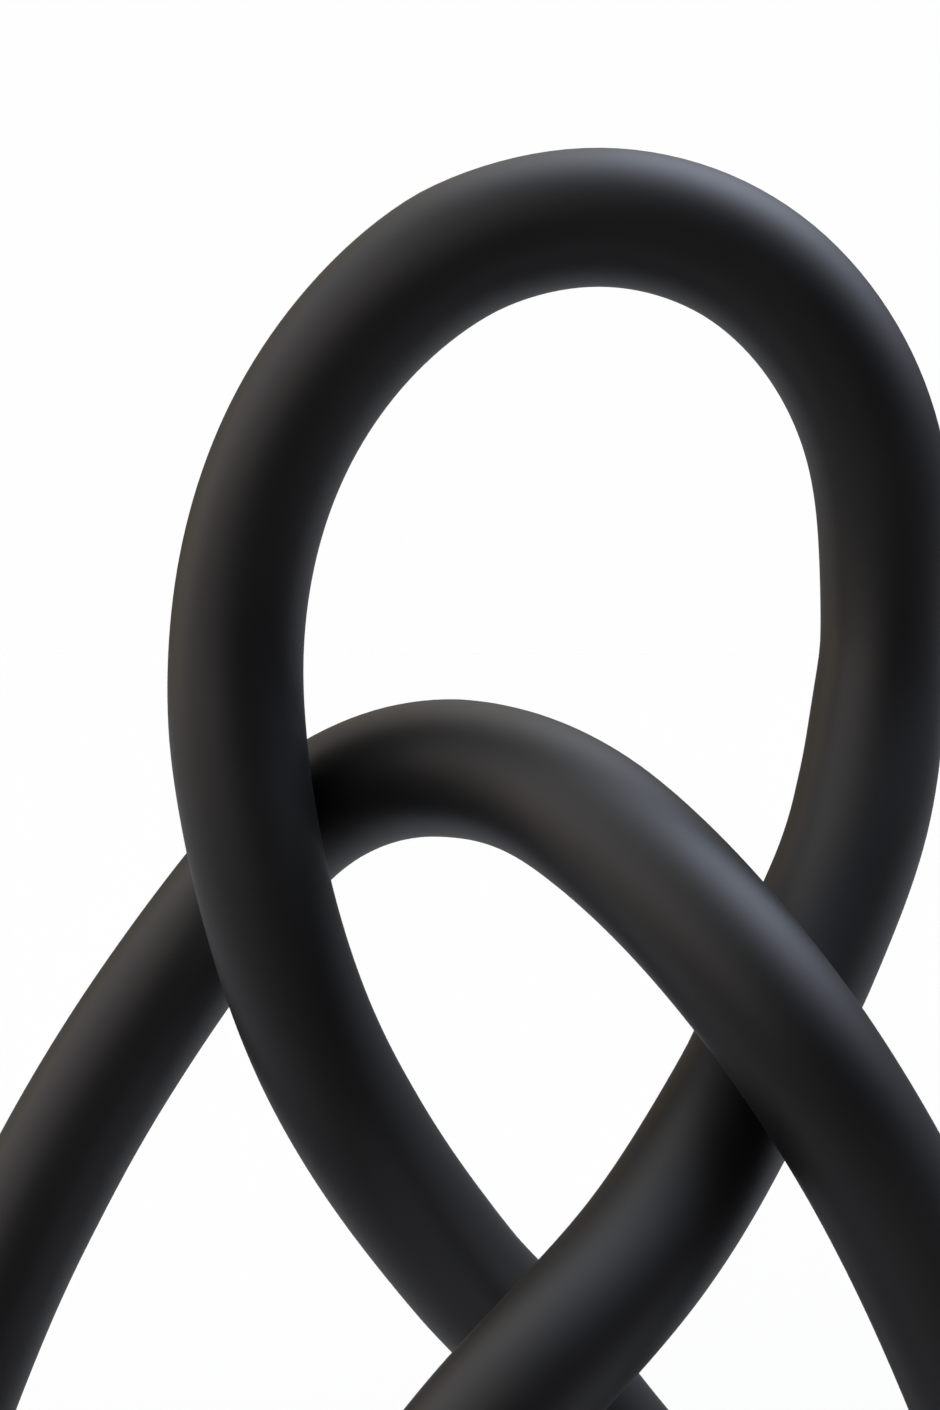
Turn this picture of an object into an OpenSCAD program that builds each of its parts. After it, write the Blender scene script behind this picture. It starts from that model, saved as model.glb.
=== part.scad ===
// Standing knot ornament: one round black strand, tied in a trefoil knot.
// The strand is cast in three lengths that butt together behind the crossings
// and are held by pairs of dowels. It stands on two bent feet with felt pads.
// Frame: origin on the table under the middle of the knot, X to the right,
// Y to the back, Z up. Millimetres.

/* [Strand] */
// Diameter of the round strand
strand_d = 25; // [22:0.5:28]
// Air between two strands where they pass each other
crossing_gap = 0.3; // [0.2:0.1:1]

/* [Loop] */
// Height of the whole ornament
overall_h = 300; // [285:1:320]
// Width of the loop, between the middles of its two limbs
loop_w = 121; // [110:1:132]
// Rise of the loop's top above its widest level
loop_rise = 73; // [66:1:82]
// How far the loop's top leans to the right
loop_lean = 7; // [0:1:14]
// How far the loop stands to the right of the feet
loop_x = 17; // [12:1:22]
// How far the loop stands behind the middle
loop_y = 14; // [10:1:18]
// How far the loop's top bows forwards, and its sides back
loop_bow = 2; // [0:0.5:5]
// How far the loop's right side is turned forwards, and its left side back
loop_twist = 2; // [0:0.5:5]

/* [Arch] */
// Height of the arch's top, at the middle of the strand
arch_h = 185.5; // [181:0.5:191]

/* [Feet] */
// Bend radius of each foot, seen from above
foot_r = 52; // [46:1:58]
// Distance between the centres of the two feet's bends
foot_spread = 122; // [114:1:130]
// Turn of each foot that lies along the table, in degrees
foot_turn = 76; // [64:2:84]
// Direction of the right foot's middle, from the right to the back, in degrees
foot_splay = 42; // [36:1:46]

/* [Joints] */
// Diameter of a dowel
dowel_d = 5; // [4:0.5:6]
// Length of a dowel
dowel_len = 30; // [20:1:34]
// Distance between the two dowels of a joint
dowel_pitch = 10; // [8:0.5:11]
// Room between a dowel and its hole, on the diameter
dowel_clear = 0.2; // [0.1:0.05:0.4]
// Room between a dowel's end and the bottom of its hole
dowel_end_clear = 0.5; // [0.2:0.1:1]
// Thickness of the adhesive between two castings
bond_t = 0.2; // [0.1:0.05:0.4]

/* [Pads] */
// Diameter of a felt pad
pad_d = 10; // [8:0.5:12]
// Thickness of a felt pad
pad_t = 2; // [1:0.5:4]
// Flat left around a pad under the strand
pad_margin = 0.8; // [0.4:0.1:1.2]

/* [Hidden] */

resin_black = [0.06, 0.06, 0.065];
dowel_steel = [0.72, 0.73, 0.75];
felt_black = [0.03, 0.03, 0.03];

strand_r = strand_d / 2;
strand_sides = 24;
ring_step = 7;
round_sides = 48;

// Depth of the flat under each foot, and the height of the strand's middle above it
flat_depth = strand_r - sqrt(pow(strand_r, 2) - pow(pad_d / 2 + pad_margin, 2));
rest_h = pad_t + strand_r - flat_depth;

// The loop is an ellipse that leans, with its turn counted from the top
loop_turns = [-96 : 32 : 96];
loop_h = overall_h - strand_r - loop_rise;
function loop_at(turn) = [loop_x + loop_w / 2 * sin(turn) + loop_lean * cos(turn),
                          loop_y - loop_bow * cos(2 * turn) - loop_twist * sin(turn),
                          loop_h + loop_rise * cos(turn)];

// Each foot is an arc on the table; way is 1 for the right foot and -1 for the left
foot_steps = 3;
function foot_at(way, turn) = [way * (foot_spread / 2 + foot_r * cos(turn)),
                               way * foot_r * sin(turn),
                               rest_h];
foot_turns = [for (i = [0 : foot_steps]) foot_splay + foot_turn * (i / foot_steps - 0.5)];

// Places that the strand passes, chosen by hand: to the right, to the back, up
back_joint = [17, 48, 60];
left_limb = [[-6, 30, 92], [-28, 15, 131], [-40, 13, 170]];
right_shoulder = [72, 6, 178];
limb_joint = [57, -9, 148];
right_limb = [[29.5, -41, 109], [2.5, -60, 84]];
left_leg = [[-95, 41, 78], [-70, 48, 125]];
arch_joint = [-44, 46, 161];
arch_left = [[-29.5, 37, 176], [-15, 28, 183.5]];
arch_top = [4, 11, arch_h];
arch_right = [24, -15, 178];
right_leg = [[54, -42.5, 147], [76.5, -41.5, 109], [95, -39, 66]];

// The strand's route: up the left limb, round the loop, down the right limb to
// the left foot, up the left leg, over the arch and down to the right foot
loop_run = concat([back_joint], left_limb,
                  [for (turn = loop_turns) loop_at(turn)], [right_shoulder]);
left_lead = concat([limb_joint], right_limb);
left_run = concat(left_lead, [for (i = [foot_steps : -1 : 0]) foot_at(-1, foot_turns[i])], left_leg);
right_lead = concat([arch_joint], arch_left, [arch_top, arch_right], right_leg);
right_run = concat(right_lead, [for (turn = foot_turns) foot_at(1, turn)]);
flat_route = concat(loop_run, left_run, right_run);

// Waypoints at which the castings start, and at which the feet and crossings lie
count = len(flat_route);
back_joint_at = 0;
limb_joint_at = len(loop_run);
arch_joint_at = limb_joint_at + len(left_run);
left_foot_at = limb_joint_at + len(left_lead);
right_foot_at = arch_joint_at + len(right_lead);
left_over_at = len(left_limb);
right_over_at = arch_joint_at + len(right_lead) - len(right_leg);

function unit(v) = v / norm(v);
function wrap(i) = (i + count) % count;
function span(route, i) = route[wrap(i + 1)] - route[wrap(i)];

// Second derivatives of the closed cubic spline through the route, by relaxation
relax_rounds = 30;
function bends(route) =
    let (gap = [for (i = [0 : count - 1]) norm(span(route, i))],
         rise = [for (i = [0 : count - 1]) span(route, i) / gap[i]],
         pull = [for (i = [0 : count - 1]) 6 * (rise[i] - rise[wrap(i - 1)])])
    relaxed(gap, pull, [for (i = [0 : count - 1]) [0, 0, 0]], relax_rounds);
function relaxed(gap, pull, bend, rounds) =
    rounds < 1 ? bend :
    relaxed(gap, pull,
            [for (i = [0 : count - 1])
                let (before = gap[wrap(i - 1)], after = gap[i])
                (pull[i] - before * bend[wrap(i - 1)] - after * bend[wrap(i + 1)])
                / (2 * (before + after))],
            rounds - 1);

// Point and direction of the spline, a share s of the way from waypoint i to the next
function spline_point(route, bend, i, s) =
    let (a = route[wrap(i)], b = route[wrap(i + 1)], g = norm(b - a), r = 1 - s)
    r * a + s * b + g * g / 6 * ((pow(r, 3) - r) * bend[wrap(i)] + (pow(s, 3) - s) * bend[wrap(i + 1)]);
function spline_way(route, bend, i, s) =
    let (a = route[wrap(i)], b = route[wrap(i + 1)], g = norm(b - a), r = 1 - s)
    unit((b - a) / g + g / 6 * ((1 - 3 * r * r) * bend[wrap(i)] + (3 * s * s - 1) * bend[wrap(i + 1)]));

// The knot is pulled out in depth until its strands just clear each other
sample_steps = 10;
function deepened(depth) = [for (w = flat_route) [w.x, w.y * depth, w.z]];
function stretch(route, bend, middle) =
    [for (i = [middle - 2 : middle + 1]) for (k = [0 : sample_steps - 1])
        spline_point(route, bend, i, k / sample_steps)];
function distance(run_a, run_b) = min([for (a = run_a) for (b = run_b) norm(a - b)]);
function closest(depth) =
    let (route = deepened(depth), bend = bends(route))
    min(distance(stretch(route, bend, left_over_at), stretch(route, bend, arch_joint_at)),
        distance(stretch(route, bend, right_over_at), stretch(route, bend, limb_joint_at)));
function pulled(low, high, rounds) =
    rounds < 1 ? high :
    let (middle = (low + high) / 2)
    closest(middle) < strand_d + crossing_gap ? pulled(middle, high, rounds - 1)
                                              : pulled(low, middle, rounds - 1);
least_depth = 0.5;
most_depth = 2;
halvings = 12;
depth = pulled(least_depth, most_depth, halvings);
deep_route = deepened(depth);
bend = bends(deep_route);

// The route is centred over the origin
middle_line = [for (i = [0 : count - 1]) for (k = [0 : sample_steps - 1])
                  spline_point(deep_route, bend, i, k / sample_steps)];
function halfway(values) = (min(values) + max(values)) / 2;
centre = [halfway([for (p = middle_line) p.x]), halfway([for (p = middle_line) p.y]), 0];
route = [for (w = deep_route) w - centre];

// Rings of one casting, from waypoint first to waypoint last, with half the bond left at each end
function rings(first, last) =
    concat([for (i = [first : last - 1])
               let (steps = ceil(norm(span(route, i)) / ring_step))
               for (k = [0 : steps - 1])
                   [spline_point(route, bend, i, k / steps)
                    + (i == first && k == 0 ? bond_t / 2 : 0) * spline_way(route, bend, i, 0),
                    spline_way(route, bend, i, k / steps)]],
           [[route[wrap(last)] - bond_t / 2 * spline_way(route, bend, last, 0),
             spline_way(route, bend, last, 0)]]);

// Carries a ring's reference direction along the strand without twist
first_across = [0.3, 1, 0.2];
function squared(v, way) = unit(v - (v * way) * way);
function references(ring) =
    [for (i = 0, v = squared(first_across, ring[0][1]);
          i < len(ring);
          i = i + 1, v = i < len(ring) ? squared(v, ring[i][1]) : v) v];

module strand(first, last) {
    ring = rings(first, last);
    across = references(ring);
    corners = [for (i = [0 : len(ring) - 1]) for (k = [0 : strand_sides - 1])
                  let (turn = 360 * k / strand_sides)
                  ring[i][0] + strand_r * (cos(turn) * across[i]
                                           + sin(turn) * cross(ring[i][1], across[i]))];
    wall = [for (i = [0 : len(ring) - 2]) for (k = [0 : strand_sides - 1])
               let (a = i * strand_sides + k,
                    b = i * strand_sides + (k + 1) % strand_sides)
               each [[a, a + strand_sides, b], [b, a + strand_sides, b + strand_sides]]];
    first_end = [for (k = [0 : strand_sides - 1]) k];
    last_end = [for (k = [strand_sides - 1 : -1 : 0]) (len(ring) - 1) * strand_sides + k];
    polyhedron(corners, concat(wall, [first_end, last_end]));
}

// Puts a shape made along Z at one dowel's place in a joint; side is -1 in front and 1 at the rear
module at_dowel(joint_at, side) {
    way = spline_way(route, bend, joint_at, 0);
    level = unit(cross(way, [0, 0, 1]));
    rearward = level.y < 0 ? -level : level;
    translate(route[wrap(joint_at)] + side * dowel_pitch / 2 * rearward)
        rotate([0, acos(way.z), atan2(way.y, way.x)])
            children();
}

module dowel_holes(joint_at) {
    for (side = [-1, 1])
        at_dowel(joint_at, side)
            cylinder(d = dowel_d + dowel_clear, h = dowel_len + 2 * dowel_end_clear,
                     center = true, $fn = round_sides);
}

// Everything below the felt's upper face, cut off to leave the flats under the feet
module under_feet() {
    reach = 2 * overall_h;
    translate([-reach / 2, -reach / 2, pad_t - strand_d])
        cube([reach, reach, strand_d]);
}

module loop_casting() {
    color(resin_black)
        difference() {
            strand(back_joint_at, limb_joint_at);
            dowel_holes(back_joint_at);
            dowel_holes(limb_joint_at);
        }
}

module left_foot_casting() {
    color(resin_black)
        difference() {
            strand(limb_joint_at, arch_joint_at);
            dowel_holes(limb_joint_at);
            dowel_holes(arch_joint_at);
            under_feet();
        }
}

module right_foot_casting() {
    color(resin_black)
        difference() {
            strand(arch_joint_at, count);
            dowel_holes(arch_joint_at);
            dowel_holes(back_joint_at);
            under_feet();
        }
}

module dowel(joint_at, side) {
    color(dowel_steel)
        at_dowel(joint_at, side)
            cylinder(d = dowel_d, h = dowel_len, center = true, $fn = round_sides);
}

module pad(waypoint) {
    spot = spline_point(route, bend, waypoint, 0.5);
    color(felt_black)
        translate([spot.x, spot.y, 0])
            cylinder(d = pad_d, h = pad_t, $fn = round_sides);
}

echo(depth = depth, least_gap = closest(depth) - strand_d, centre = centre);

loop_casting();
left_foot_casting();
right_foot_casting();
dowel(arch_joint_at, -1);  // arch_joint_front_dowel
dowel(arch_joint_at, 1);  // arch_joint_rear_dowel
dowel(limb_joint_at, -1);  // limb_joint_front_dowel
dowel(limb_joint_at, 1);  // limb_joint_rear_dowel
dowel(back_joint_at, -1);  // back_joint_front_dowel
dowel(back_joint_at, 1);  // back_joint_rear_dowel
pad(left_foot_at);  // left_foot_front_pad
pad(left_foot_at + foot_steps - 1);  // left_foot_rear_pad
pad(right_foot_at);  // right_foot_front_pad
pad(right_foot_at + foot_steps - 1);  // right_foot_rear_pad
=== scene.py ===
# %% [markdown]
# # A standing knot in satin black
# This ornament is one thick round strand of cast resin, tied in a trefoil knot and sprayed satin black.
# A closed knot can't be drawn out of a mould, so the strand is cast in three open lengths. They butt
# together behind the crossings on pairs of steel dowels, and the joints are filled and sprayed over.
# It stands on the flats of two bent feet, with felt pads under them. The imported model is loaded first
# and stays as it is: every piece below is made in its frame, in metres.

import math

import bmesh
import bpy
from mathutils import Matrix, Vector, noise
from mathutils.geometry import interpolate_bezier


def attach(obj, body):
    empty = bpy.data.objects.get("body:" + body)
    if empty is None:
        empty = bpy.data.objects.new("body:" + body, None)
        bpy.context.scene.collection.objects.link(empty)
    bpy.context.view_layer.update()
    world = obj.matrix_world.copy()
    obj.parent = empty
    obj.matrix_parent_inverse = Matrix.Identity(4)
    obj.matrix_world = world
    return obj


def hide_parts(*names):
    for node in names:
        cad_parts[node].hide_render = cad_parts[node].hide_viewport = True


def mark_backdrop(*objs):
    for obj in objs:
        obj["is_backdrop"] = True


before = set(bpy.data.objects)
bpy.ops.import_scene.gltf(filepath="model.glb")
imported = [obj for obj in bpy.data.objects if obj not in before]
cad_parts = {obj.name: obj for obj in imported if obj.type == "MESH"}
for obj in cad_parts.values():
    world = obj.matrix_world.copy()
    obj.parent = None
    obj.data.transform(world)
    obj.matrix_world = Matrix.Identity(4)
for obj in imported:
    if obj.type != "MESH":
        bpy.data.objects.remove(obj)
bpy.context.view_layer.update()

# %% [markdown]
# ## Camera
# The photograph looks straight at the knot's front from slightly above, and close: the arch in front is
# clearly thicker than the strand behind it. That narrowing gives the distance, and the crop gives the
# focal length. Both could be found by dragging the camera in the viewport, but written as numbers they
# stay the same on every run. The frame is taller than wide, so the sensor's 36 mm lie along its height.

# %% Camera
PHOTO_H = 1410
FOCAL_PX = 2860
SENSOR_MM = 36
CAMERA_DISTANCE = 0.52
CAMERA_RISE = math.radians(5)
AIM = Vector((0.00015, 0.00465, 0.1992))


def make_camera():
    data = bpy.data.cameras.new("camera")
    data.sensor_width = SENSOR_MM
    data.lens = SENSOR_MM * FOCAL_PX / PHOTO_H
    camera = bpy.data.objects.new("camera", data)
    away = Vector((0, -math.cos(CAMERA_RISE), math.sin(CAMERA_RISE)))
    camera.location = AIM + CAMERA_DISTANCE * away
    camera.rotation_euler = (-away).to_track_quat("-Z", "Y").to_euler()
    bpy.context.scene.collection.objects.link(camera)
    bpy.context.scene.camera = camera
    return camera


camera = make_camera()
print("camera: lens", round(camera.data.lens, 2), "mm, at", [round(x, 4) for x in camera.location])

# %% [markdown]
# ## Route of the strand
# The strand follows a closed curve through given places, each to the right, to the back and up.
# They are the places that the castings were constructed on, so the looks and the construction agree.
# A curve object with automatic handles would pass them too, but it bends in jerks. Here the slopes at
# the places are relaxed until the bending is the same on both sides of each, as in a springy rod.

# %% Places that the strand passes
STRAND_R = 0.0125
PAD_T = 0.002
FLAT_HALF_W = 0.0058
REST_H = PAD_T + math.sqrt(STRAND_R**2 - FLAT_HALF_W**2)

LOOP_MIDDLE = Vector((0.017, 0.014, 0.2145))
LOOP_HALF_W = 0.0605
LOOP_RISE = 0.073
LOOP_LEAN = 0.007
LOOP_BOW = 0.002
LOOP_TWIST = 0.002
LOOP_HALF_TURN = 96
LOOP_STEP = 32
LOOP_TURNS = range(-LOOP_HALF_TURN, LOOP_HALF_TURN + 1, LOOP_STEP)

FOOT_R = 0.052
FOOT_SPREAD = 0.122
FOOT_TURN = 76
FOOT_SPLAY = 42
FOOT_STEPS = 3
FOOT_TURNS = [FOOT_SPLAY + FOOT_TURN * (i / FOOT_STEPS - 0.5) for i in range(FOOT_STEPS + 1)]

LEFT_LIMB = [(0.017, 0.048, 0.060), (-0.006, 0.030, 0.092), (-0.028, 0.015, 0.131), (-0.040, 0.013, 0.170)]
RIGHT_SHOULDER = [(0.072, 0.006, 0.178)]
RIGHT_LIMB = [(0.057, -0.009, 0.148), (0.0295, -0.041, 0.109), (0.0025, -0.060, 0.084)]
LEFT_LEG = [(-0.095, 0.041, 0.078), (-0.070, 0.048, 0.125)]
ARCH = [(-0.044, 0.046, 0.161), (-0.0295, 0.037, 0.176), (-0.015, 0.028, 0.1835), (0.004, 0.011, 0.1855),
        (0.024, -0.015, 0.178)]
RIGHT_LEG = [(0.054, -0.0425, 0.147), (0.0765, -0.0415, 0.109), (0.095, -0.039, 0.066)]

# Depth to which the knot is drawn together, until its strands just clear each other at the crossings
KNOT_DEPTH = 0.965088


def loop_at(degrees):
    turn = math.radians(degrees)
    across = LOOP_HALF_W * math.sin(turn) + LOOP_LEAN * math.cos(turn)
    back = -LOOP_BOW * math.cos(2 * turn) - LOOP_TWIST * math.sin(turn)
    return LOOP_MIDDLE + Vector((across, back, LOOP_RISE * math.cos(turn)))


def foot_at(way, degrees):
    turn = math.radians(degrees)
    outward = FOOT_SPREAD / 2 + FOOT_R * math.cos(turn)
    return Vector((way * outward, way * FOOT_R * math.sin(turn), REST_H))


loop_run = [*LEFT_LIMB, *map(loop_at, LOOP_TURNS), *RIGHT_SHOULDER]
left_run = [*RIGHT_LIMB, *[foot_at(-1, turn) for turn in reversed(FOOT_TURNS)], *LEFT_LEG]
right_run = [*ARCH, *RIGHT_LEG, *[foot_at(1, turn) for turn in FOOT_TURNS]]
places = [Vector((x, y * KNOT_DEPTH, z)) for x, y, z in [*loop_run, *left_run, *right_run]]
BACK_JOINT = 0
LIMB_JOINT = len(loop_run)
ARCH_JOINT = LIMB_JOINT + len(left_run)
LEFT_FOOT = LIMB_JOINT + len(RIGHT_LIMB)
RIGHT_FOOT = ARCH_JOINT + len(ARCH) + len(RIGHT_LEG)
print("route:", len(places), "places, joints at", BACK_JOINT, LIMB_JOINT, ARCH_JOINT)

# %% Smooth route through the places
RELAX_ROUNDS = 40
ROUTE_STEPS = 10


def relaxed_slopes(points):
    """Slopes at the points, for which the bending is the same on both sides of each."""
    count = len(points)
    gaps = [(points[(i + 1) % count] - points[i]).length for i in range(count)]
    steps = [(points[(i + 1) % count] - points[i]) / gaps[i] for i in range(count)]
    slopes = [step.copy() for step in steps]
    for _ in range(RELAX_ROUNDS):
        slopes = [(3 * (steps[i - 1] / gaps[i - 1] + steps[i] / gaps[i])
                   - slopes[i - 1] / gaps[i - 1] - slopes[(i + 1) % count] / gaps[i])
                  / (2 / gaps[i - 1] + 2 / gaps[i]) for i in range(count)]
    return slopes


def route_between(points, slopes, i, steps):
    """Points of the route from place i up to the next place, without that one."""
    j = (i + 1) % len(points)
    third = (points[j] - points[i]).length / 3
    return interpolate_bezier(points[i], points[i] + third * slopes[i],
                              points[j] - third * slopes[j], points[j], steps + 1)[:-1]


slopes = relaxed_slopes(places)
line = [p for i in range(len(places)) for p in route_between(places, slopes, i, ROUTE_STEPS)]
middle = [(min(p[axis] for p in line) + max(p[axis] for p in line)) / 2 for axis in (0, 1)]
places = [p - Vector((*middle, 0)) for p in places]
length = sum((b - a).length for a, b in zip(line, [*line[1:], line[0]]))
print("route:", round(length, 3), "m long, moved by", [round(-x, 5) for x in middle])

# %% [markdown]
# ## Hand finish
# A casting like this is rubbed down by hand before it is sprayed, so the strand isn't a perfect pipe. It
# swells and thins by a few tenths of a millimetre, and its bends have small flats and humps. A noise
# texture on a Displace modifier could do that, but it can't be told where. Here a slow noise gives the
# waviness. Each swell has a station on the route (the number of a place, with a share of the way to the
# next), a reach in stations and a rise. A rubbed spot also has the direction that its side faces.

# %% Hand finish
WAVE_SIZE = 0.03
WAVE_HEIGHT = 0.00006
REACH_POWER = 1.5
FACING_POWER = 2
LEAST_RISE = 0.00001

LEFT, RIGHT, UP = Vector((-1, 0, 0)), Vector((1, 0, 0)), Vector((0, 0, 1))
UP_LEFT = Vector((-0.5, 0, 0.85))
DOWN_RIGHT = Vector((0.9, 0, -0.45))

SWELLS = [(3.6, 0.5, 0.00035), (20.1, 0.8, 0.0002), (23.6, 0.8, 0.0005), (24.95, 0.7, 0.0005)]
RUBBED_SPOTS = [(0.05, RIGHT + UP, 0.3, 0.0009),
                (0.7, LEFT - UP, 0.4, 0.0004),
                (0.7, RIGHT + UP, 0.4, -0.0006),
                (1.7, RIGHT, 0.4, 0.0003),
                (6.2, UP_LEFT, 0.55, 0.0012),
                (6.3, -UP_LEFT, 0.5, -0.0005),
                (7.6, UP, 0.9, 0.0004),
                (7.8, -UP, 0.7, -0.0005),
                (9.95, LEFT, 0.35, -0.0012),
                (10.9, LEFT, 0.3, 0.0003),
                (11.9, DOWN_RIGHT, 0.45, 0.001),
                (12.3, LEFT + UP, 0.3, -0.001),
                (19.4, DOWN_RIGHT, 0.6, 0.0006)]


def nearness(station, at, reach):
    """Fades from 1 at a station to 0 past its reach, also across the start of the closed route."""
    half = len(places) / 2
    away = (station - at + half) % len(places) - half
    return math.exp(-abs(away / reach) ** REACH_POWER)


def finish_near(station):
    """The swell at a station of the route, and the rubbed spots that reach it with their rise there."""
    swell = sum(rise * nearness(station, at, reach) for at, reach, rise in SWELLS)
    spots = [(facing.normalized(), rise * nearness(station, at, reach))
             for at, facing, reach, rise in RUBBED_SPOTS]
    return swell, [(facing, rise) for facing, rise in spots if abs(rise) > LEAST_RISE]


def finish_height(swell, spots, point, outward):
    """How far the rubbed surface stands out from a perfect pipe at a point of a ring."""
    height = swell + WAVE_HEIGHT * noise.noise(point / WAVE_SIZE)
    for facing, rise in spots:
        height += rise * max(0, outward.dot(facing)) ** FACING_POWER
    return height


print("hand finish:", len(SWELLS), "swells and", len(RUBBED_SPOTS), "rubbed spots")

# %% [markdown]
# ## The three castings
# Each casting is a ring of vertices, extruded step by step along the route. A curve with a round bevel
# gives a pipe as well, but its ends and holes would still need mesh work, so the mesh is made from the
# start. The ends are flat, with two dowel holes each, and the feet are cut flat where they stand. The
# rim of each end is eased a little, so a hairline shows where two castings meet under the paint.

# %% Sweep of a casting
STRAND_SIDES = 72
RING_STEP = 0.0025
FIRST_ACROSS = Vector((0.3, 1, 0.2))
JOINT_EASE = 0.0001
JOINT_GAP = 0.00002


def ring_matrix(point, way, across):
    """Places a flat ring square to the route, and returns it with its reference direction."""
    across = (across - across.dot(way) * way).normalized()
    turned = Matrix((across, way.cross(across), way)).transposed().to_4x4()
    return Matrix.Translation(point) @ turned, across


def stations(first, last):
    """Stations of the rings from one joint to the next, with the route's point and direction there."""
    found = []
    for i in range(first, last):
        a, b = i % len(places), (i + 1) % len(places)
        steps = math.ceil((places[b] - places[a]).length / RING_STEP)
        points = route_between(places, slopes, a, steps)
        found += [(i + k / steps, point) for k, point in enumerate(points)]
    found.append((last, places[last % len(places)]))
    ways = [(b[1] - a[1]).normalized() for a, b in zip(found, found[2:])]
    ways = [slopes[first].normalized(), *ways, slopes[last % len(places)].normalized()]
    margin = JOINT_EASE + JOINT_GAP / 2
    found[0] = (first, found[0][1] + margin * ways[0])
    found[-1] = (last, found[-1][1] - margin * ways[-1])
    return [(station, point, way) for (station, point), way in zip(found, ways)]


def loop_edges(ring):
    """Edges that join the vertices of one ring to each other."""
    members = set(ring)
    return list({e for v in ring for e in v.link_edges if e.other_vert(v) in members})


def drawn_out(bm, ring):
    """Extrudes a ring, and returns the vertices of its copy."""
    made = bmesh.ops.extrude_edge_only(bm, edges=loop_edges(ring))["geom"]
    return [v for v in made if isinstance(v, bmesh.types.BMVert)]


def sweep(bm, first, last):
    """Draws the strand from one joint to the next, and returns its first and last rings."""
    across = FIRST_ACROSS
    rings = []
    for station, point, way in stations(first, last):
        matrix, across = ring_matrix(point, way, across)
        if not rings:
            ring = bmesh.ops.create_circle(bm, segments=STRAND_SIDES, radius=STRAND_R,
                                           matrix=matrix)["verts"]
        else:
            ring = drawn_out(bm, ring)
            bmesh.ops.transform(bm, matrix=matrix @ before.inverted(), verts=ring)
        before = matrix
        rings.append((station, point, ring))
    for station, point, ring in rings:
        swell, spots = finish_near(station)
        for v in ring:
            outward = (v.co - point).normalized()
            v.co += finish_height(swell, spots, v.co, outward) * outward
    return rings[0][2], rings[-1][2]


print("sweep: rings of", STRAND_SIDES, "sides, at most", 1000 * RING_STEP, "mm apart")

# %% Ends and feet of a casting
DOWEL_R = 0.0025
DOWEL_LEN = 0.030
DOWEL_PITCH = 0.010
DOWEL_ROOM = 0.0001
DOWEL_END_ROOM = 0.0005
HOLE_R = DOWEL_R + DOWEL_ROOM
HOLE_SIDES = 32


def dowel_matrices(joint):
    """Places of a joint's front and rear dowels, with Z along the strand."""
    way = slopes[joint].normalized()
    level = way.cross(UP).normalized()
    rearward = level if level.y > 0 else -level
    spots = [places[joint] + side * DOWEL_PITCH / 2 * rearward for side in (-1, 1)]
    return [ring_matrix(spot, way, rearward)[0] for spot in spots]


def close_end(bm, ring, joint, inward):
    """Eases the rim of an end, fills the end and drills its dowel holes."""
    rim = drawn_out(bm, ring)
    to_middle = Matrix.Translation(-places[joint])
    bmesh.ops.scale(bm, vec=[1 - JOINT_EASE / STRAND_R] * 3, space=to_middle, verts=rim)
    flat = (rim[0].co - places[joint]).dot(inward) - JOINT_GAP / 2
    bmesh.ops.translate(bm, vec=-flat * inward, verts=rim)
    mouths = []
    for matrix in dowel_matrices(joint):
        mouth = bmesh.ops.create_circle(bm, segments=HOLE_SIDES, radius=HOLE_R, matrix=matrix)["verts"]
        bmesh.ops.translate(bm, vec=JOINT_GAP / 2 * inward, verts=mouth)
        mouths.append(mouth)
    edges = [e for loop in [rim, *mouths] for e in loop_edges(loop)]
    bmesh.ops.triangle_fill(bm, edges=edges, use_beauty=True, use_dissolve=False)
    for mouth in mouths:
        bottom = drawn_out(bm, mouth)
        bmesh.ops.translate(bm, vec=(DOWEL_LEN / 2 + DOWEL_END_ROOM) * inward, verts=bottom)
        edges += loop_edges(bottom)
        bmesh.ops.contextual_create(bm, geom=loop_edges(bottom))
    for e in [*edges, *loop_edges(ring)]:
        e.smooth = False


def cut_foot(bm):
    """Cuts the strand flat on the felt's upper face, with a sharp edge round the flat."""
    everything = [*bm.verts, *bm.edges, *bm.faces]
    cut = bmesh.ops.bisect_plane(bm, geom=everything, plane_co=(0, 0, PAD_T), plane_no=UP,
                                 clear_inner=True)["geom_cut"]
    edges = [e for e in cut if isinstance(e, bmesh.types.BMEdge)]
    if not edges:
        return
    bmesh.ops.triangle_fill(bm, edges=edges, use_beauty=True, normal=-UP)
    for e in edges:
        e.smooth = False


def finished(bm, name, node):
    """Turns a bmesh into a smooth-shaded piece on the one body, which takes the place of a CAD node."""
    bmesh.ops.recalc_face_normals(bm, faces=bm.faces)
    for face in bm.faces:
        face.smooth = True
    mesh = bpy.data.meshes.new(name)
    bm.to_mesh(mesh)
    bm.free()
    piece = bpy.data.objects.new(name, mesh)
    bpy.context.scene.collection.objects.link(piece)
    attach(piece, "root")
    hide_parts(node)
    return piece


print("dowel holes:", round(2000 * HOLE_R, 2), "mm wide")


# %% Make the castings
def make_casting(name, node, first, last):
    bm = bmesh.new()
    start, end = sweep(bm, first, last)
    close_end(bm, start, first, slopes[first].normalized())
    close_end(bm, end, last % len(places), -slopes[last % len(places)].normalized())
    cut_foot(bm)
    return finished(bm, name, node)


castings = [make_casting("lacquered_loop", "loop_casting", BACK_JOINT, LIMB_JOINT),
            make_casting("lacquered_left_foot", "left_foot_casting", LIMB_JOINT, ARCH_JOINT),
            make_casting("lacquered_right_foot", "right_foot_casting", ARCH_JOINT, len(places))]
for piece in castings:
    print(piece.name, len(piece.data.polygons), "faces")

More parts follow.
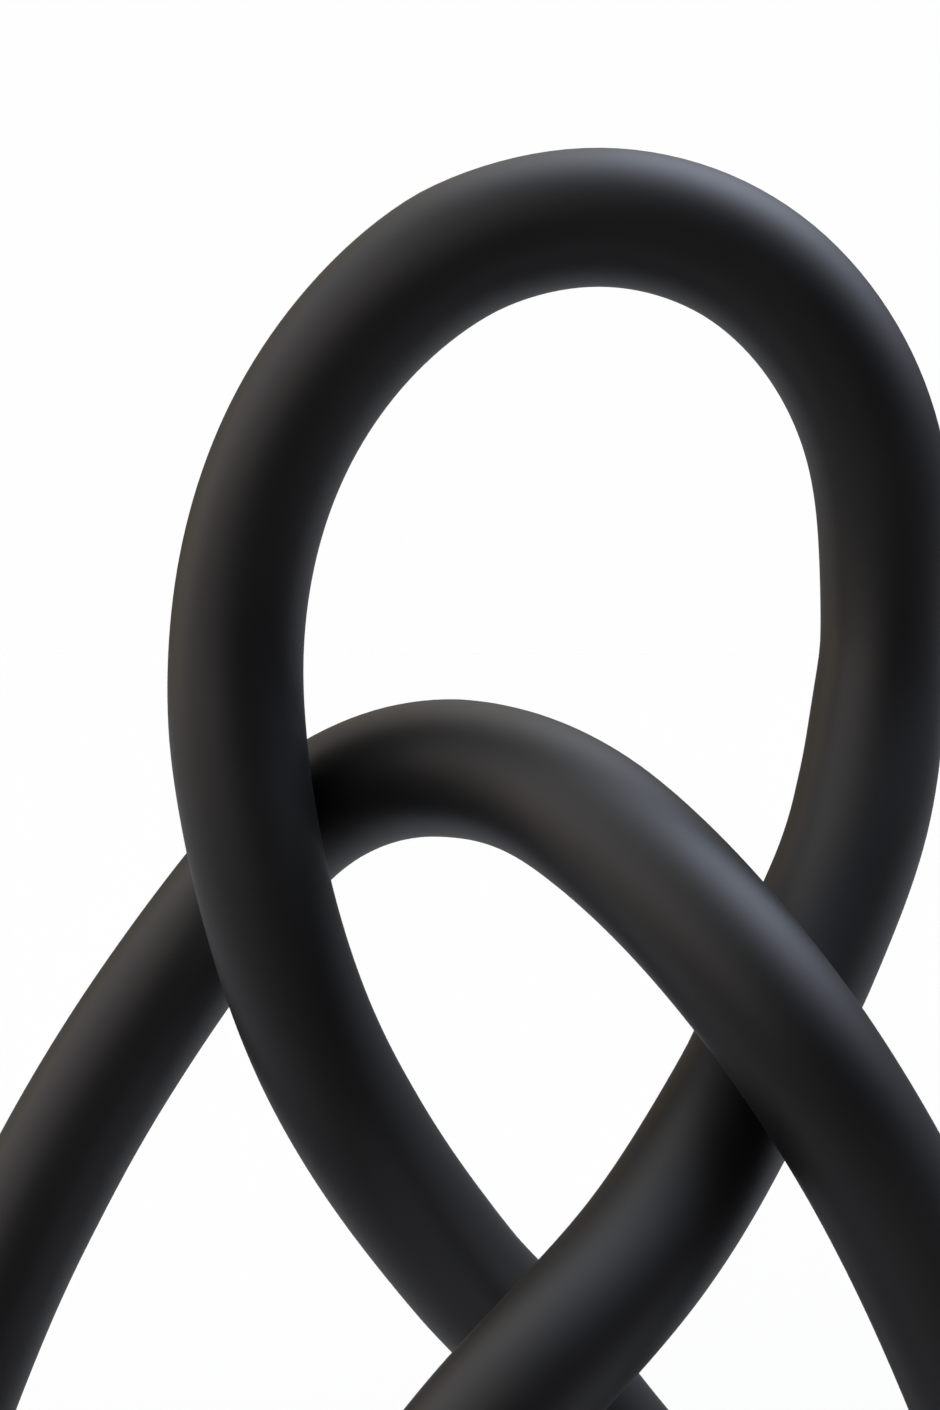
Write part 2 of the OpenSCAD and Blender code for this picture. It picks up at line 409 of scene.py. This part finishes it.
# %% [markdown]
# ## Pins in the joints
# Two pins of drawn steel rod keep each joint from turning while its adhesive sets. They are sawn to
# length and their ends chamfered, so that they find their holes. A cylinder with a bevel would do, but a
# half section spun about its axis gives the chamfers in one go. Each vertex keeps its place on the upright
# pin in an attribute, so that the marks of drawing can run along the rod at any tilt.

# %% Make the pins
PIN_CHAMFER = 0.0004
PIN_SIDES = 32
PIN_SHARP = math.radians(30)
MERGE_DIST = 0.000004


def spun(section, sides, cuts=0):
    """Spins a half section about the upright axis, after rounding it with some cuts in each edge."""
    bm = bmesh.new()
    corners = [bm.verts.new((r, 0, z)) for r, z in section]
    edges = [bm.edges.new(pair) for pair in zip(corners, corners[1:])]
    if cuts:
        bmesh.ops.subdivide_edges(bm, edges=edges, cuts=cuts, smooth=1)
    bmesh.ops.spin(bm, geom=[*bm.verts, *bm.edges], cent=(0, 0, 0), axis=UP, angle=math.tau, steps=sides,
                   use_merge=True)
    bmesh.ops.remove_doubles(bm, verts=bm.verts, dist=MERGE_DIST)
    return bm


def make_pin(name, node, matrix):
    half = DOWEL_LEN / 2
    bm = spun([(0, -half), (DOWEL_R - PIN_CHAMFER, -half), (DOWEL_R, PIN_CHAMFER - half),
               (DOWEL_R, half - PIN_CHAMFER), (DOWEL_R - PIN_CHAMFER, half), (0, half)], PIN_SIDES)
    on_rod = bm.verts.layers.float_vector.new("on_rod")
    for v in bm.verts:
        v[on_rod] = v.co
    for e in bm.edges:
        e.smooth = e.calc_face_angle(0) < PIN_SHARP
    bmesh.ops.transform(bm, matrix=matrix, verts=bm.verts)
    return finished(bm, name, node)


pins = []
for joint_name, joint in (("arch", ARCH_JOINT), ("limb", LIMB_JOINT), ("back", BACK_JOINT)):
    for side, matrix in zip(("front", "rear"), dowel_matrices(joint)):
        pins.append(make_pin(f"{joint_name}_{side}_pin", f"{joint_name}_joint_{side}_dowel", matrix))
print("pins:", len(pins), "of", len(pins[0].data.polygons), "faces")

# %% [markdown]
# ## Felt pads
# Round pads of pressed felt keep the feet from scratching a shelf. They are punched from sheet, so their
# faces are flat where they bear, and their sides bulge a little and are fuzzy from the punch. A cloth
# simulation would only round such a stiff disc, so a section is spun and its side roughened by noise.
# The noise is sunk by half its height, so that little fuzz stands past the punched size.

# %% Make the pads
PAD_R = 0.005
PAD_BULGE = 0.00015
PAD_ROUND = 0.0004
PAD_SIDES = 96
PAD_CUTS = 2
FUZZ_SIZE = 0.0005
FUZZ_HEIGHT = 0.00012
FUZZ_SINK = 0.5


def make_pad(name, node, spot):
    bm = spun([(0, 0), (PAD_R / 2, 0), (PAD_R - PAD_ROUND, 0), (PAD_R, PAD_ROUND),
               (PAD_R + PAD_BULGE, PAD_T / 2),
               (PAD_R, PAD_T - PAD_ROUND), (PAD_R - PAD_ROUND, PAD_T), (PAD_R / 2, PAD_T), (0, PAD_T)],
              PAD_SIDES, PAD_CUTS)
    bmesh.ops.translate(bm, vec=(spot.x, spot.y, 0), verts=bm.verts)
    bmesh.ops.recalc_face_normals(bm, faces=bm.faces)
    bm.normal_update()
    for v in bm.verts:
        v.co += FUZZ_HEIGHT * (noise.noise(v.co / FUZZ_SIZE) - FUZZ_SINK) * v.normal
        v.co.z = min(max(v.co.z, 0), PAD_T)
    piece = finished(bm, name, node)
    return piece


pads = []
for foot_name, foot in (("left", LEFT_FOOT), ("right", RIGHT_FOOT)):
    for side, span in (("front", foot), ("rear", foot + FOOT_STEPS - 1)):
        halfway = route_between(places, slopes, span, 2)[1]
        pads.append(make_pad(f"{foot_name}_{side}_felt", f"{foot_name}_foot_{side}_pad", halfway))
print("pads:", len(pads), "of", len(pads[0].data.polygons), "faces")

# %% [markdown]
# ## Unevenness that the finishes share
# No finish is the same all over. Sprayed paint has duller and glossier patches and a fine peel, drawn
# steel has streaks, and felt has thick and thin places and loose fibres. All are a slow noise and a fine
# one, so one node group gives both, and each material sets their scales and uses them in its own way.

# %% Node group of unevenness
PATCH_DETAIL = 3
GRAIN_DETAIL = 2


def add_node(tree, kind, **settings):
    node = tree.nodes.new(kind)
    for name, value in settings.items():
        setattr(node, name, value)
    return node


def add_noise(tree, vector, scale, detail):
    texture = add_node(tree, "ShaderNodeTexNoise")
    texture.inputs["Detail"].default_value = detail
    tree.links.new(vector, texture.inputs["Vector"])
    tree.links.new(scale, texture.inputs["Scale"])
    return texture.outputs["Fac"]


def make_unevenness():
    tree = bpy.data.node_groups.new("unevenness", "ShaderNodeTree")
    tree.interface.new_socket(name="Vector", in_out="INPUT", socket_type="NodeSocketVector")
    for name in ("Patch Scale", "Grain Scale"):
        tree.interface.new_socket(name=name, in_out="INPUT", socket_type="NodeSocketFloat")
    for name in ("Patches", "Grain"):
        tree.interface.new_socket(name=name, in_out="OUTPUT", socket_type="NodeSocketFloat")
    entry = add_node(tree, "NodeGroupInput")
    leave = add_node(tree, "NodeGroupOutput")
    patches = add_noise(tree, entry.outputs["Vector"], entry.outputs["Patch Scale"], PATCH_DETAIL)
    grain = add_noise(tree, entry.outputs["Vector"], entry.outputs["Grain Scale"], GRAIN_DETAIL)
    tree.links.new(patches, leave.inputs["Patches"])
    tree.links.new(grain, leave.inputs["Grain"])
    return tree


unevenness = make_unevenness()
print("node group:", unevenness.name, "with", len(unevenness.nodes), "nodes")

# %% Parts that each material uses
NOISE_LOW = 0.3
NOISE_HIGH = 0.7

# A Mix node has sockets for every kind of value, so those for colours go by number
MIX_SHARE, MIX_FIRST, MIX_SECOND = 0, 6, 7
MIX_RESULT = 2


def new_finish(name):
    material = bpy.data.materials.new(name)
    material.use_nodes = True
    return material.node_tree, material.node_tree.nodes["Principled BSDF"], material


def add_unevenness(tree, vector, patch_scale, grain_scale):
    group = add_node(tree, "ShaderNodeGroup", node_tree=unevenness)
    group.inputs["Patch Scale"].default_value = patch_scale
    group.inputs["Grain Scale"].default_value = grain_scale
    tree.links.new(vector, group.inputs["Vector"])
    return group.outputs["Patches"], group.outputs["Grain"]


def spread(tree, value, low, high):
    """Stretches a noise value's middle range over low to high."""
    node = add_node(tree, "ShaderNodeMapRange", clamp=True)
    ends = {"From Min": NOISE_LOW, "From Max": NOISE_HIGH, "To Min": low, "To Max": high}
    for name, number in ends.items():
        node.inputs[name].default_value = number
    tree.links.new(value, node.inputs["Value"])
    return node.outputs["Result"]


def blend(tree, share, first, second):
    """Mixes two colours by a share that changes over the surface."""
    node = add_node(tree, "ShaderNodeMix", data_type="RGBA")
    tree.links.new(share, node.inputs[MIX_SHARE])
    node.inputs[MIX_FIRST].default_value = (*first, 1)
    node.inputs[MIX_SECOND].default_value = (*second, 1)
    return node.outputs[MIX_RESULT]


def add_bump(tree, shader, height, depth):
    node = add_node(tree, "ShaderNodeBump")
    node.inputs["Distance"].default_value = depth
    tree.links.new(height, node.inputs["Height"])
    tree.links.new(node.outputs["Normal"], shader.inputs["Normal"])


def give_finish(pieces, material):
    for piece in pieces:
        piece.data.materials.append(material)
    print(material.name, "on", len(pieces), "pieces")


print("noise from", NOISE_LOW, "to", NOISE_HIGH, "is spread over each range")

# %% [markdown]
# ## Satin black lacquer
# The lacquer is nearly black and half dull: softboxes show in it as wide soft bands with no outline. Base
# Color stays very dark, because the greys of the photograph are reflections, and Roughness sets the width
# of the bands. The patches shift both a little, and the peel is a bump of a few thousandths of a
# millimetre that only shows close up.

# %% Satin black lacquer
LACQUER_GLOSS = 0.76
LACQUER_DARK = (0.0049, 0.0045, 0.0046)
LACQUER_LIGHT = (0.0067, 0.0064, 0.0061)
LACQUER_ROUGH = (0.45, 0.51)
LACQUER_PATCH_SCALE = 28
PEEL_SCALE = 900
PEEL_DEPTH = 0.000006


def make_lacquer():
    tree, shader, material = new_finish("satin_black_lacquer")
    shader.inputs["Specular IOR Level"].default_value = LACQUER_GLOSS
    coords = add_node(tree, "ShaderNodeTexCoord").outputs["Object"]
    patches, peel = add_unevenness(tree, coords, LACQUER_PATCH_SCALE, PEEL_SCALE)
    tones = blend(tree, spread(tree, patches, 0, 1), LACQUER_DARK, LACQUER_LIGHT)
    tree.links.new(tones, shader.inputs["Base Color"])
    tree.links.new(spread(tree, patches, *LACQUER_ROUGH), shader.inputs["Roughness"])
    add_bump(tree, shader, peel, PEEL_DEPTH)
    return material


give_finish(castings, make_lacquer())

# %% [markdown]
# ## Drawn steel
# Steel rod is drawn through a die, which leaves fine streaks along it. A noise that is stretched along the
# rod gives them. It reads the attribute that each pin carries, in which the rod always stands upright.

# %% Drawn steel
STEEL_DARK = (0.56, 0.57, 0.59)
STEEL_LIGHT = (0.66, 0.67, 0.69)
STEEL_ROUGH = (0.26, 0.4)
STEEL_PATCH_SCALE = 900
STREAK_SCALE = 5000
STREAK_STRETCH = (1, 1, 0.04)
STREAK_DEPTH = 0.000004


def make_steel():
    tree, shader, material = new_finish("drawn_steel")
    shader.inputs["Metallic"].default_value = 1
    on_rod = add_node(tree, "ShaderNodeAttribute", attribute_name="on_rod").outputs["Vector"]
    stretch = add_node(tree, "ShaderNodeMapping")
    stretch.inputs["Scale"].default_value = STREAK_STRETCH
    tree.links.new(on_rod, stretch.inputs["Vector"])
    patches, streaks = add_unevenness(tree, stretch.outputs["Vector"], STEEL_PATCH_SCALE, STREAK_SCALE)
    tones = blend(tree, spread(tree, patches, 0, 1), STEEL_DARK, STEEL_LIGHT)
    tree.links.new(tones, shader.inputs["Base Color"])
    tree.links.new(spread(tree, streaks, *STEEL_ROUGH), shader.inputs["Roughness"])
    add_bump(tree, shader, streaks, STREAK_DEPTH)
    return material


give_finish(pins, make_steel())

# %% [markdown]
# ## Pressed felt
# Felt is matted wool: dull, with a faint sheen of loose fibre ends, and mottled where it is thicker. Fine
# noise gives the matted surface, as bump and as small changes of tone.

# %% Pressed felt
FELT_ROUGH = 0.95
FELT_GLOSS = 0.2
FELT_SHEEN = 0.15
FELT_SHEEN_ROUGH = 0.6
FELT_DARK = (0.010, 0.010, 0.011)
FELT_LIGHT = (0.024, 0.024, 0.025)
FELT_PATCH_SCALE = 700
FIBRE_SCALE = 4000
FIBRE_DEPTH = 0.00008


def make_felt():
    tree, shader, material = new_finish("pressed_felt")
    shader.inputs["Roughness"].default_value = FELT_ROUGH
    shader.inputs["Specular IOR Level"].default_value = FELT_GLOSS
    shader.inputs["Sheen Weight"].default_value = FELT_SHEEN
    shader.inputs["Sheen Roughness"].default_value = FELT_SHEEN_ROUGH
    coords = add_node(tree, "ShaderNodeTexCoord").outputs["Object"]
    patches, fibres = add_unevenness(tree, coords, FELT_PATCH_SCALE, FIBRE_SCALE)
    mottle = add_node(tree, "ShaderNodeMath", operation="MULTIPLY")
    tree.links.new(patches, mottle.inputs[0])
    tree.links.new(fibres, mottle.inputs[1])
    tones = blend(tree, spread(tree, mottle.outputs["Value"], 0, 1), FELT_DARK, FELT_LIGHT)
    tree.links.new(tones, shader.inputs["Base Color"])
    add_bump(tree, shader, fibres, FIBRE_DEPTH)
    return material


give_finish(pads, make_felt())

# %% [markdown]
# ## Floor
# The floor is pale, and carries the knot's shadow. The strand mirrors it, and for that its colour is
# painted
# light and shade: lighter under and behind the knot, which lightens the lower sides, and darker towards the
# camera, as if a sheet of paper ended in front of the object. To the camera alone it is white, and meets
# the white room without a line.

# %% Floor
FLOOR_HALF_W = 3
FLOOR_SEEN = (0.98, 0.943, 0.843)
# Painted light and painted shade: the floor's colour behind the knot and towards the camera, for all but
# camera rays
FLOOR_PAINTED_LIGHT = (0.43, 0.42, 0.41)
FLOOR_PAINTED_SHADE = (0.105, 0.1, 0.095)
PAINTED_FADE_FRONT = -0.35
PAINTED_FADE_BACK = 0.0


def make_floor():
    bm = bmesh.new()
    bmesh.ops.create_grid(bm, x_segments=1, y_segments=1, size=FLOOR_HALF_W)
    mesh = bpy.data.meshes.new("floor")
    bm.to_mesh(mesh)
    bm.free()
    floor = bpy.data.objects.new("floor", mesh)
    bpy.context.scene.collection.objects.link(floor)
    tree, shader, material = new_finish("pale_floor")
    shader.inputs["Roughness"].default_value = 1
    shader.inputs["Specular IOR Level"].default_value = 0
    # Painted light and shade: the floor's colour goes from light behind the knot to dark towards the camera
    place = add_node(tree, "ShaderNodeSeparateXYZ")
    tree.links.new(add_node(tree, "ShaderNodeTexCoord").outputs["Object"], place.inputs["Vector"])
    fade = add_node(tree, "ShaderNodeMapRange", interpolation_type="SMOOTHSTEP")
    fade.inputs["From Min"].default_value = PAINTED_FADE_FRONT
    fade.inputs["From Max"].default_value = PAINTED_FADE_BACK
    tree.links.new(place.outputs["Y"], fade.inputs["Value"])
    seen = add_node(tree, "ShaderNodeMix", data_type="RGBA")
    tree.links.new(add_node(tree, "ShaderNodeLightPath").outputs["Is Camera Ray"], seen.inputs[MIX_SHARE])
    tree.links.new(blend(tree, fade.outputs["Result"], FLOOR_PAINTED_SHADE, FLOOR_PAINTED_LIGHT), seen.inputs[MIX_FIRST])
    seen.inputs[MIX_SECOND].default_value = (*FLOOR_SEEN, 1)
    tree.links.new(seen.outputs[MIX_RESULT], shader.inputs["Base Color"])
    mesh.materials.append(material)
    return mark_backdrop(floor)


make_floor()
print("floor:", 2 * FLOOR_HALF_W, "m wide")

# %% [markdown]
# ## Studio light
# Black lacquer shows little but its surroundings, so they are laid out as the photograph's are: one large
# cool softbox high on the right, a dimmer one overhead, a cool and a warm one on the left, a weak fill in
# front and a warm wall behind. The rest is dark, which leaves the strand's near side black. Area lamps
# could stand there, but soft glows in the world have no edges and no noise. Each has the direction in which
# it is brightest, how fast it fades round that, and a colour. Together they light a level white card to
# about white, so colours render about as they are written. The camera itself sees plain white, as bright
# as the floor.

# %% Studio light
GLOWS = [((0.4, 0.25, 0.88), 8, (2.75, 3.2, 4.05)),
         ((0.6, 0.1, 0.79), 8, (0.3, 0.2, 0.15)),
         ((-0.25, 0.2, 0.95), 8, (1.05, 1.0, 0.92)),
         ((-0.86, 0.05, 0.5), 10, (0.7, 0.74, 0.87)),
         ((-0.95, 0.3, 0.05), 8, (0.7, 0.57, 0.36)),
         ((-0.9, -0.3, 0.3), 8, (0.26, 0.22, 0.21)),
         ((-0.6, -0.7, 0.4), 10, (0.72, 0.68, 0.65)),
         ((-0.05, 0.85, 0.5), 8, (0.4, 0.3, 0.17))]
ROOM_SEEN = (0.99, 0.99, 0.99)


def add_glow(tree, ray, direction, tightness, colour):
    """A glow that falls off smoothly round its direction."""
    facing = add_node(tree, "ShaderNodeVectorMath", operation="DOT_PRODUCT")
    facing.inputs[1].default_value = Vector(direction).normalized()
    tree.links.new(ray, facing.inputs[0])
    falling = add_node(tree, "ShaderNodeMath", operation="MULTIPLY_ADD")
    falling.inputs[1].default_value = tightness
    falling.inputs[2].default_value = -tightness
    tree.links.new(facing.outputs["Value"], falling.inputs[0])
    bright = add_node(tree, "ShaderNodeMath", operation="EXPONENT")
    tree.links.new(falling.outputs["Value"], bright.inputs[0])
    tinted = add_node(tree, "ShaderNodeVectorMath", operation="SCALE")
    tinted.inputs[0].default_value = colour
    tree.links.new(bright.outputs["Value"], tinted.inputs["Scale"])
    return tinted.outputs["Vector"]


def make_studio():
    world = bpy.data.worlds.new("studio")
    world.use_nodes = True
    tree = world.node_tree
    room = tree.nodes["Background"]
    ray = add_node(tree, "ShaderNodeTexCoord").outputs["Generated"]
    light = None
    for direction, tightness, colour in GLOWS:
        glow = add_glow(tree, ray, direction, tightness, colour)
        if light:
            both = add_node(tree, "ShaderNodeVectorMath", operation="ADD")
            tree.links.new(light, both.inputs[0])
            tree.links.new(glow, both.inputs[1])
            glow = both.outputs["Vector"]
        light = glow
    tree.links.new(light, room.inputs["Color"])
    white = add_node(tree, "ShaderNodeBackground")
    white.inputs["Color"].default_value = (*ROOM_SEEN, 1)
    choice = add_node(tree, "ShaderNodeMixShader")
    tree.links.new(add_node(tree, "ShaderNodeLightPath").outputs["Is Camera Ray"], choice.inputs["Fac"])
    tree.links.new(room.outputs["Background"], choice.inputs[1])
    tree.links.new(white.outputs["Background"], choice.inputs[2])
    tree.links.new(choice.outputs["Shader"], tree.nodes["World Output"].inputs["Surface"])
    return world


bpy.context.scene.world = make_studio()
bpy.context.scene.view_settings.view_transform = "Standard"
print("studio:", len(GLOWS), "glows")
